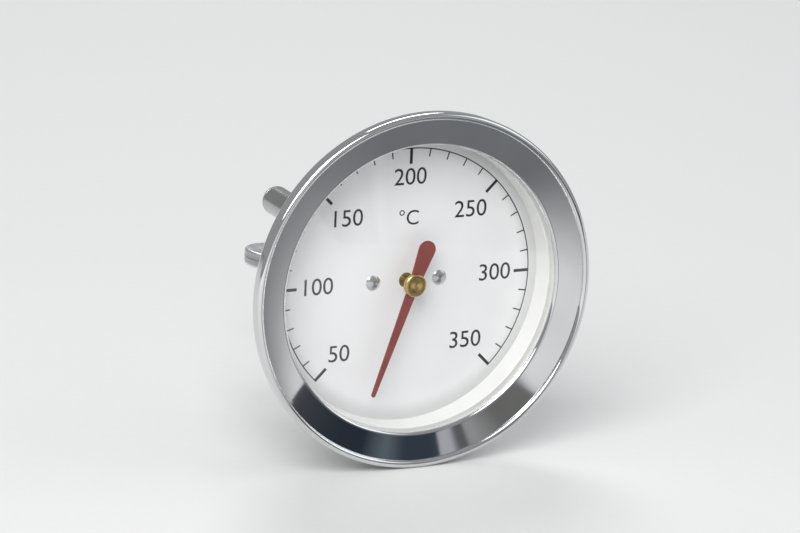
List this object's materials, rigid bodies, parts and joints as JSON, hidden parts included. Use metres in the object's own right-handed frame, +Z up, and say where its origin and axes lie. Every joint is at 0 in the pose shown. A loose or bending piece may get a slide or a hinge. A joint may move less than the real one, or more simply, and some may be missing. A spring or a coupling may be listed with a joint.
{
  "type": "oven thermometer",
  "caption": "Round bimetal dial thermometer with polished steel bezel, glass lens, probe stem, threaded stud, washers and wing nut for an oven panel.",
  "frame": {"origin": "centre of the flat contact ring at the back of the case, in the plane of the oven panel's front face", "axes": "+Y along the probe, away from the reader and into the oven; -Y faces the reader; +Z up, through 12 o'clock on the dial; +X towards 3 o'clock"},
  "size_m": [0.07, 0.0723, 0.07],
  "materials": {
    "polished_steel": "deep-drawn stainless steel, mirror polished",
    "drawn_steel": "drawn stainless steel sheet, satin",
    "turned_steel": "turned stainless steel with fine tool marks",
    "zinc_plate": "bright zinc plate on steel",
    "cast_zinc": "die-cast wing nut, tumbled and zinc plated",
    "float_glass": "clear float glass, ground edges",
    "silicone": "moulded red-brown silicone",
    "white_enamel": "stove-enamelled white, satin gloss",
    "dial_white": "white lacquered aluminium sheet, printed",
    "pointer_red": "dark red lacquer on aluminium",
    "aluminium_rivet": "bright aluminium rivets",
    "bearing_brass": "turned brass",
    "bimetal": "rolled bimetal strip"
  },
  "bodies": {
    "case_body": {"bezel_ring": "polished_steel", "glass_lens": "float_glass", "front_gasket": "silicone", "seat_gasket": "silicone", "case_cup": "drawn_steel", "spacer_ring": "white_enamel", "dial_plate": "dial_white", "dial_rivets": "aluminium_rivet", "stem_boss": "turned_steel", "stem_tube": "drawn_steel", "tip_plug": "turned_steel", "upper_bearing": "bearing_brass", "lower_bearing": "bearing_brass", "bimetal_coil": "bimetal"},
    "pointer_body": {"coil_collar": "bearing_brass", "pointer_shaft": "turned_steel", "pointer_hub": "bearing_brass", "pointer": "pointer_red"},
    "washer_stack": {"flat_washer": "zinc_plate", "lock_washer": "zinc_plate"},
    "nut_body": {"wing_nut": "cast_zinc"}
  },
  "joints": [
    {"name": "pointer_turn", "type": "hinge", "parent": "case_body", "child": "pointer_body", "pos_m": [0, 0, 0], "axis": [0, 1, 0], "range_deg": [-28.8, 295.2], "stiffness_Nm_per_rad": 0.0002, "deforming": ["bimetal_coil"]},
    {"name": "nut_travel", "type": "slide", "parent": "case_body", "child": "washer_stack", "axis": [0, 1, 0], "range_m": [-0.00175, 0.01]},
    {"name": "nut_spin", "type": "hinge", "parent": "washer_stack", "child": "nut_body", "pos_m": [0, 0, 0], "axis": [0, 1, 0], "range_deg": [-420, 2400]}
  ],
  "couplings": [
    {"joint": "nut_travel", "follows": "nut_spin", "m_per_rad": 0.00023873}
  ]
}
